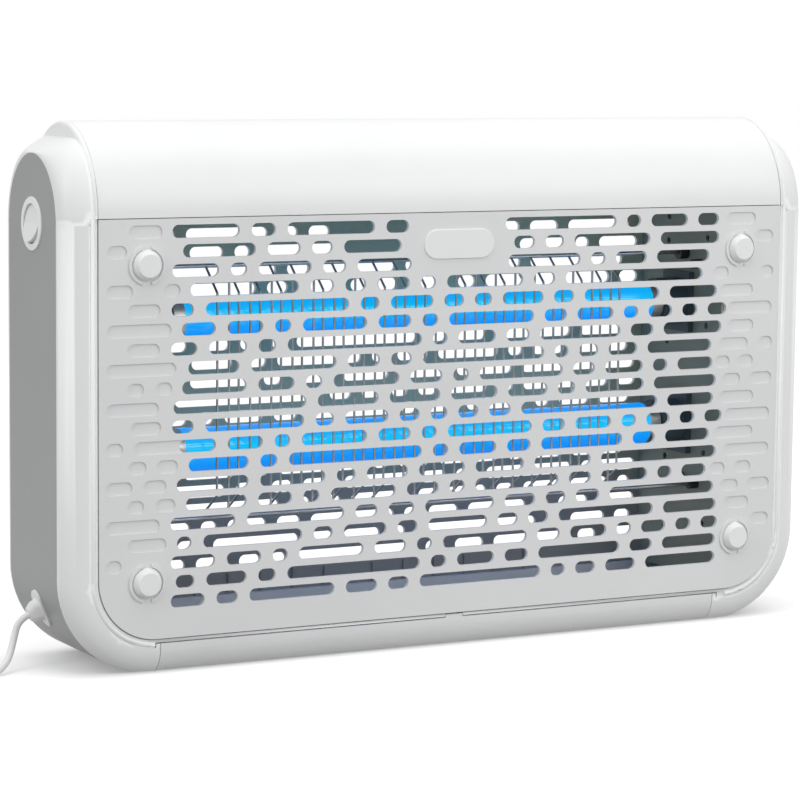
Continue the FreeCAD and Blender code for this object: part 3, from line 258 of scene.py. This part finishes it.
def moulded(name, low_tone, high_tone, roughness, grain, depth):
    """Moulded plastic: faint uneven tone, fine grain, and a sheen that varies a little."""
    plastic = bpy.data.materials.new(name)
    plastic.use_nodes = True
    nodes = plastic.node_tree.nodes
    links = plastic.node_tree.links
    surface = nodes["Principled BSDF"]
    surface.inputs["IOR"].default_value = 1.5
    where = nodes.new("ShaderNodeTexCoord")
    cloud = nodes.new("ShaderNodeTexNoise")
    cloud.inputs["Scale"].default_value = 9.0
    cloud.inputs["Detail"].default_value = 3.0
    tone = nodes.new("ShaderNodeValToRGB")
    tone.color_ramp.elements[0].position = 0.3
    tone.color_ramp.elements[0].color = (*low_tone, 1)
    tone.color_ramp.elements[1].position = 0.7
    tone.color_ramp.elements[1].color = (*high_tone, 1)
    texture = nodes.new("ShaderNodeTexNoise")
    texture.inputs["Scale"].default_value = grain
    texture.inputs["Detail"].default_value = 2.0
    sheen = nodes.new("ShaderNodeMapRange")
    sheen.inputs["To Min"].default_value = roughness - 0.05
    sheen.inputs["To Max"].default_value = roughness + 0.07
    relief = nodes.new("ShaderNodeBump")
    relief.inputs["Strength"].default_value = 0.25
    relief.inputs["Distance"].default_value = depth
    links.new(where.outputs["Object"], cloud.inputs["Vector"])
    links.new(where.outputs["Object"], texture.inputs["Vector"])
    links.new(cloud.outputs["Fac"], tone.inputs["Fac"])
    links.new(tone.outputs["Color"], surface.inputs["Base Color"])
    links.new(cloud.outputs["Fac"], sheen.inputs["Value"])
    links.new(sheen.outputs["Result"], surface.inputs["Roughness"])
    links.new(texture.outputs["Fac"], relief.inputs["Height"])
    links.new(relief.outputs["Normal"], surface.inputs["Normal"])
    return plastic


def finish_in(piece, material):
    """Gives a piece one material."""
    piece.data.materials.clear()
    piece.data.materials.append(material)


def drawn_metal(name, low_tone, high_tone, roughness):
    """Bare or plated metal with fine dull patches."""
    metal = bpy.data.materials.new(name)
    metal.use_nodes = True
    nodes = metal.node_tree.nodes
    links = metal.node_tree.links
    surface = nodes["Principled BSDF"]
    surface.inputs["Metallic"].default_value = 1.0
    where = nodes.new("ShaderNodeTexCoord")
    patches = nodes.new("ShaderNodeTexNoise")
    patches.inputs["Scale"].default_value = 300.0
    patches.inputs["Detail"].default_value = 3.0
    tone = nodes.new("ShaderNodeValToRGB")
    tone.color_ramp.elements[0].color = (*low_tone, 1)
    tone.color_ramp.elements[1].color = (*high_tone, 1)
    sheen = nodes.new("ShaderNodeMapRange")
    sheen.inputs["To Min"].default_value = roughness - 0.08
    sheen.inputs["To Max"].default_value = roughness + 0.1
    links.new(where.outputs["Object"], patches.inputs["Vector"])
    links.new(patches.outputs["Fac"], tone.inputs["Fac"])
    links.new(tone.outputs["Color"], surface.inputs["Base Color"])
    links.new(patches.outputs["Fac"], sheen.inputs["Value"])
    links.new(sheen.outputs["Result"], surface.inputs["Roughness"])
    return metal


def refinish(node, material):
    """A CAD piece kept as it is, with its material replaced."""
    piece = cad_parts[node]
    piece.data.materials.clear()
    piece.data.materials.append(material)


cord_skin = moulded("cord_white_pvc", (0.78, 0.785, 0.79), (0.85, 0.855, 0.855), 0.42, 300, 0.00008)
lead_curve.materials.append(cord_skin)
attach(mains_lead, "case")
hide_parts("cord_lead", "cord_coil", "cord_tail")

# the moulded two-blade plug on the lead's far end
plug_white = moulded("plug_white_pvc", (0.76, 0.765, 0.77), (0.82, 0.825, 0.825), 0.42, 800, 0.00003)
plug = softened("plug_body", 0.3 * MM, "case")
finish_in(plug, plug_white)
refinish("plug_pins", drawn_metal("blade_nickel_brass", (0.62, 0.56, 0.42), (0.75, 0.69, 0.54), 0.25))


# ---------------------------------------------------------------- case shells: frames and hood
# Two white frame halves meet along the middle of the case, and a half-round hood closes the top.
# All are injection-moulded in a smooth white plastic with softly rounded edges.
CHAMBER_HALF_WIDTH = 226.2
CHAMBER_FOOT = 19.5
CHAMBER_TOP = 250.5
# half the depth of the space, as far as the frame's curved edge and as far as the panels' backs
SHELL_HALF_DEPTH = 42.0
PANEL_HALF_DEPTH = 45.62
# painted shade: the shells' and panels' faces inside the chamber get a darker tone, darker still near its
# foot, with a warm tint that offsets the tubes' blue light
INSIDE_SHADE_TONE = (0.60, 0.56, 0.37, 1)
FOOT_SHADE_TONE = (0.34, 0.335, 0.32, 1)
FOOT_SHADE_TOP = 65 * MM
FOOT_SHADE_FADE_END = 115 * MM


def paint_inside_shade(plastic, half_depth):
    """Paints shade into a plastic: a darker tone on its faces inside the chamber, darkest at its foot."""
    nodes = plastic.node_tree.nodes
    links = plastic.node_tree.links
    surface = nodes["Principled BSDF"]
    outside = surface.inputs["Base Color"].links[0].from_socket
    where = nodes.new("ShaderNodeTexCoord")
    place = nodes.new("ShaderNodeSeparateXYZ")
    links.new(where.outputs["Object"], place.inputs["Vector"])
    inside = None
    limits = (("X", "GREATER_THAN", -CHAMBER_HALF_WIDTH), ("X", "LESS_THAN", CHAMBER_HALF_WIDTH),
              ("Y", "GREATER_THAN", -half_depth), ("Y", "LESS_THAN", half_depth),
              ("Z", "GREATER_THAN", CHAMBER_FOOT), ("Z", "LESS_THAN", CHAMBER_TOP))
    for axis, operation, edge in limits:
        test = nodes.new("ShaderNodeMath")
        test.operation = operation
        test.inputs[1].default_value = edge * MM
        links.new(place.outputs[axis], test.inputs[0])
        if inside is None:
            inside = test
            continue
        both = nodes.new("ShaderNodeMath")
        both.operation = "MULTIPLY"
        links.new(inside.outputs["Value"], both.inputs[0])
        links.new(test.outputs["Value"], both.inputs[1])
        inside = both
    tone = nodes.new("ShaderNodeMix")
    tone.data_type = "RGBA"
    links.new(inside.outputs["Value"], tone.inputs["Factor"])
    links.new(outside, tone.inputs["A"])
    climb = nodes.new("ShaderNodeMapRange")
    climb.inputs["From Min"].default_value = FOOT_SHADE_TOP
    climb.inputs["From Max"].default_value = FOOT_SHADE_FADE_END
    links.new(place.outputs["Z"], climb.inputs["Value"])
    inner_shade_tone = nodes.new("ShaderNodeValToRGB")
    inner_shade_tone.color_ramp.elements[0].color = FOOT_SHADE_TONE
    inner_shade_tone.color_ramp.elements[1].color = INSIDE_SHADE_TONE
    links.new(climb.outputs["Result"], inner_shade_tone.inputs["Fac"])
    links.new(inner_shade_tone.outputs["Color"], tone.inputs["B"])
    links.new(tone.outputs["Result"], surface.inputs["Base Color"])


shell_white = moulded("shell_white_abs", (0.80, 0.805, 0.81), (0.84, 0.845, 0.845), 0.36, 900, 0.00003)
# painted shade on the shells' faces inside the chamber
paint_inside_shade(shell_white, SHELL_HALF_DEPTH)
for node in ("front_frame", "rear_frame", "hood"):
    finish_in(softened(node, 0.45 * MM, "case", curved=True), shell_white)


# ---------------------------------------------------------------- grey side bands
# A mid-grey band is let flush into each side of the case, round the lower corner and under it.
band_grey = moulded("band_grey_abs", (0.310, 0.313, 0.315), (0.342, 0.345, 0.347), 0.46, 1300, 0.00006)
for node in ("left_side_band", "right_side_band"):
    finish_in(softened(node, 0.35 * MM, "case"), band_grey)


# ---------------------------------------------------------------- slotted panels
# The front and rear panels are one moulding with rows of round-ended slots and blind recesses,
# a finer and slightly duller white than the shells.  Their inner faces carry painted shade, a dull grey
# tone.
panel_white = moulded("panel_white_abs", (0.72, 0.725, 0.73), (0.76, 0.765, 0.77), 0.45, 1100, 0.00005)
# painted shade on the panels' faces inside the chamber
paint_inside_shade(panel_white, PANEL_HALF_DEPTH)
for node in ("front_grille", "rear_grille"):
    finish_in(softened(node, 0.35 * MM, "case"), panel_white)


# ---------------------------------------------------------------- screw caps and name pad
# Four press-in caps cover the screws of each panel, and a plain oval pad sits at the top of the
# front one, where a label would go.
trim_white = moulded("trim_white_abs", (0.82, 0.825, 0.83), (0.86, 0.865, 0.865), 0.32, 900, 0.00002)
for node in ("front_screw_caps", "rear_screw_caps", "name_pad"):
    finish_in(softened(node, 0.3 * MM, "case"), trim_white)


# ---------------------------------------------------------------- insect tray
# The white drawer at the foot of the case, whose front carries on the frame's rounded edge.
tray_white = moulded("tray_white_abs", (0.74, 0.745, 0.75), (0.78, 0.785, 0.785), 0.38, 900, 0.00003)
finish_in(softened("tray", 0.3 * MM, "insect_tray"), tray_white)


# ---------------------------------------------------------------- rocker switch
# A round white rocker in a flanged ring, snapped into the left side band.
switch_white = moulded("switch_white_pbt", (0.82, 0.825, 0.83), (0.87, 0.875, 0.875), 0.28, 700, 0.00002)
finish_in(softened("switch_bezel", 0.3 * MM, "case"), switch_white)
finish_in(softened("switch_rocker", 0.35 * MM, "rocker"), switch_white)
switch_black = moulded("switch_black_pbt", (0.015, 0.015, 0.016), (0.03, 0.03, 0.03), 0.4, 900, 0.00003)
finish_in(softened("switch_body", 0.3 * MM, "case"), switch_black)


# ---------------------------------------------------------------- cord gland
# A white nylon gland with an oval flange grips the lead where it leaves the lower left corner.
gland_white = moulded("gland_white_nylon", (0.78, 0.785, 0.79), (0.83, 0.835, 0.835), 0.4, 800, 0.00003)
finish_in(softened("strain_relief", 0.35 * MM, "case"), gland_white)


# ---------------------------------------------------------------- chamber walls and deck
# Grey painted steel walls close the chamber's ends, and a plated deck closes its top.
# the walls' mid-grey is their own colour; their olive cast is painted to offset the tubes' blue light
wall_paint = moulded("chamber_grey_paint", (0.28, 0.295, 0.235), (0.33, 0.345, 0.275), 0.5, 1500, 0.00003)
for node in ("left_chamber_wall", "right_chamber_wall"):
    finish_in(softened(node, 0.25 * MM, "case"), wall_paint)
deck_zinc = bpy.data.materials.new("deck_zinc_plate")
deck_zinc.use_nodes = True
nodes = deck_zinc.node_tree.nodes
links = deck_zinc.node_tree.links
surface = nodes["Principled BSDF"]
surface.inputs["Metallic"].default_value = 1.0
where = nodes.new("ShaderNodeTexCoord")
spangle = nodes.new("ShaderNodeTexVoronoi")
spangle.inputs["Scale"].default_value = 120.0
tone = nodes.new("ShaderNodeValToRGB")
tone.color_ramp.elements[0].color = (0.42, 0.43, 0.44, 1)
tone.color_ramp.elements[1].color = (0.58, 0.59, 0.60, 1)
sheen = nodes.new("ShaderNodeMapRange")
sheen.inputs["To Min"].default_value = 0.32
sheen.inputs["To Max"].default_value = 0.5
links.new(where.outputs["Object"], spangle.inputs["Vector"])
links.new(spangle.outputs["Distance"], tone.inputs["Fac"])
links.new(tone.outputs["Color"], surface.inputs["Base Color"])
links.new(spangle.outputs["Distance"], sheen.inputs["Value"])
links.new(sheen.outputs["Result"], surface.inputs["Roughness"])
finish_in(softened("top_deck", 0.2 * MM, "case"), deck_zinc)


# ---------------------------------------------------------------- metal grid, rods and fasteners
# Drawn steel wires stand in front of the tubes, and the posts, screws and bushes hold the panels
# and the grid's rods.
wire_steel = drawn_metal("grid_drawn_steel", (0.34, 0.36, 0.38), (0.50, 0.52, 0.54), 0.32)
refinish("live_grid_wires", wire_steel)
refinish("neutral_grid_wires", wire_steel)
screw_steel = drawn_metal("screw_bright_zinc", (0.55, 0.56, 0.57), (0.72, 0.72, 0.73), 0.28)
refinish("panel_screws", screw_steel)
refinish("hood_screws", screw_steel)
bush_black = moulded("bush_black_nylon", (0.012, 0.012, 0.013), (0.025, 0.025, 0.026), 0.45, 900, 0.00003)
refinish("grid_bushes", bush_black)
post_nylon = moulded("post_grey_nylon", (0.30, 0.31, 0.32), (0.36, 0.37, 0.38), 0.5, 900, 0.00003)
refinish("panel_posts", post_nylon)


# ---------------------------------------------------------------- ultraviolet tubes
# Two 10 W tubes of blue glass, 26 mm across, glow saturated blue with a paler middle, and end in
# aluminium caps with two pins each, in dark plastic lampholders.
TUBE_RADIUS = 13 * MM


def glowing_glass(name, axis_height):
    """Lit tube glass: pale cyan a little above its axis, deeper blue towards its edges."""
    glass = bpy.data.materials.new(name)
    glass.use_nodes = True
    nodes = glass.node_tree.nodes
    links = glass.node_tree.links
    surface = nodes["Principled BSDF"]
    surface.inputs["Base Color"].default_value = (0.01, 0.06, 0.35, 1)
    surface.inputs["Roughness"].default_value = 0.12
    surface.inputs["Emission Strength"].default_value = 1.05
    where = nodes.new("ShaderNodeTexCoord")
    parts = nodes.new("ShaderNodeSeparateXYZ")
    height = nodes.new("ShaderNodeMapRange")
    height.inputs["From Min"].default_value = axis_height - TUBE_RADIUS
    height.inputs["From Max"].default_value = axis_height + TUBE_RADIUS
    glow = nodes.new("ShaderNodeValToRGB")
    glow.color_ramp.interpolation = "EASE"
    glow.color_ramp.elements[0].position = 0.0
    glow.color_ramp.elements[0].color = (0.0, 0.20, 0.74, 1)
    glow.color_ramp.elements[1].position = 1.0
    glow.color_ramp.elements[1].color = (0.0, 0.25, 0.76, 1)
    for position, colour in ((0.3, (0.0, 0.28, 0.80)), (0.60, (0.0, 0.47, 0.78)),
                             (0.82, (0.0, 0.36, 0.77))):
        stop = glow.color_ramp.elements.new(position)
        stop.color = (*colour, 1)
    links.new(where.outputs["Object"], parts.inputs["Vector"])
    links.new(parts.outputs["Z"], height.inputs["Value"])
    links.new(height.outputs["Result"], glow.inputs["Fac"])
    links.new(glow.outputs["Color"], surface.inputs["Emission Color"])
    return glass


cap_aluminium = drawn_metal("lamp_cap_aluminium", (0.45, 0.46, 0.48), (0.6, 0.61, 0.62), 0.35)
holder_plastic = moulded("lampholder_grey_pbt", (0.05, 0.08, 0.10), (0.08, 0.11, 0.13), 0.5, 900, 0.00004)
for lamp in ("upper", "lower"):
    low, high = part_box(lamp + "_lamp_tube")
    refinish(lamp + "_lamp_tube", glowing_glass(lamp + "_lit_glass", (low.z + high.z) / 2))
    refinish(lamp + "_lamp_caps", cap_aluminium)
    for side in ("left", "right"):
        refinish("%s_%s_lampholder" % (lamp, side), holder_plastic)


# ---------------------------------------------------------------- electrics under the hood
# The ballasts, transformer, board, starters and terminal block stand on the deck, out of sight.
ballast_steel = drawn_metal("ballast_zinc_can", (0.5, 0.51, 0.52), (0.66, 0.67, 0.68), 0.35)
for node in ("left_ballast", "right_ballast"):
    refinish(node, ballast_steel)
starter_can = drawn_metal("starter_aluminium_can", (0.6, 0.6, 0.61), (0.75, 0.75, 0.76), 0.3)
for node in ("upper_starter", "lower_starter"):
    refinish(node, starter_can)
refinish("hv_transformer", moulded("transformer_yellow_tape", (0.55, 0.40, 0.07), (0.68, 0.52, 0.12),
                                   0.5, 400, 0.00008))
refinish("circuit_board", moulded("board_green_mask", (0.01, 0.12, 0.05), (0.02, 0.18, 0.08),
                                  0.35, 700, 0.00003))
refinish("terminal_block", moulded("block_cream_nylon", (0.66, 0.65, 0.58), (0.74, 0.73, 0.66),
                                   0.5, 600, 0.00004))
refinish("inner_mains_lead", cord_skin)
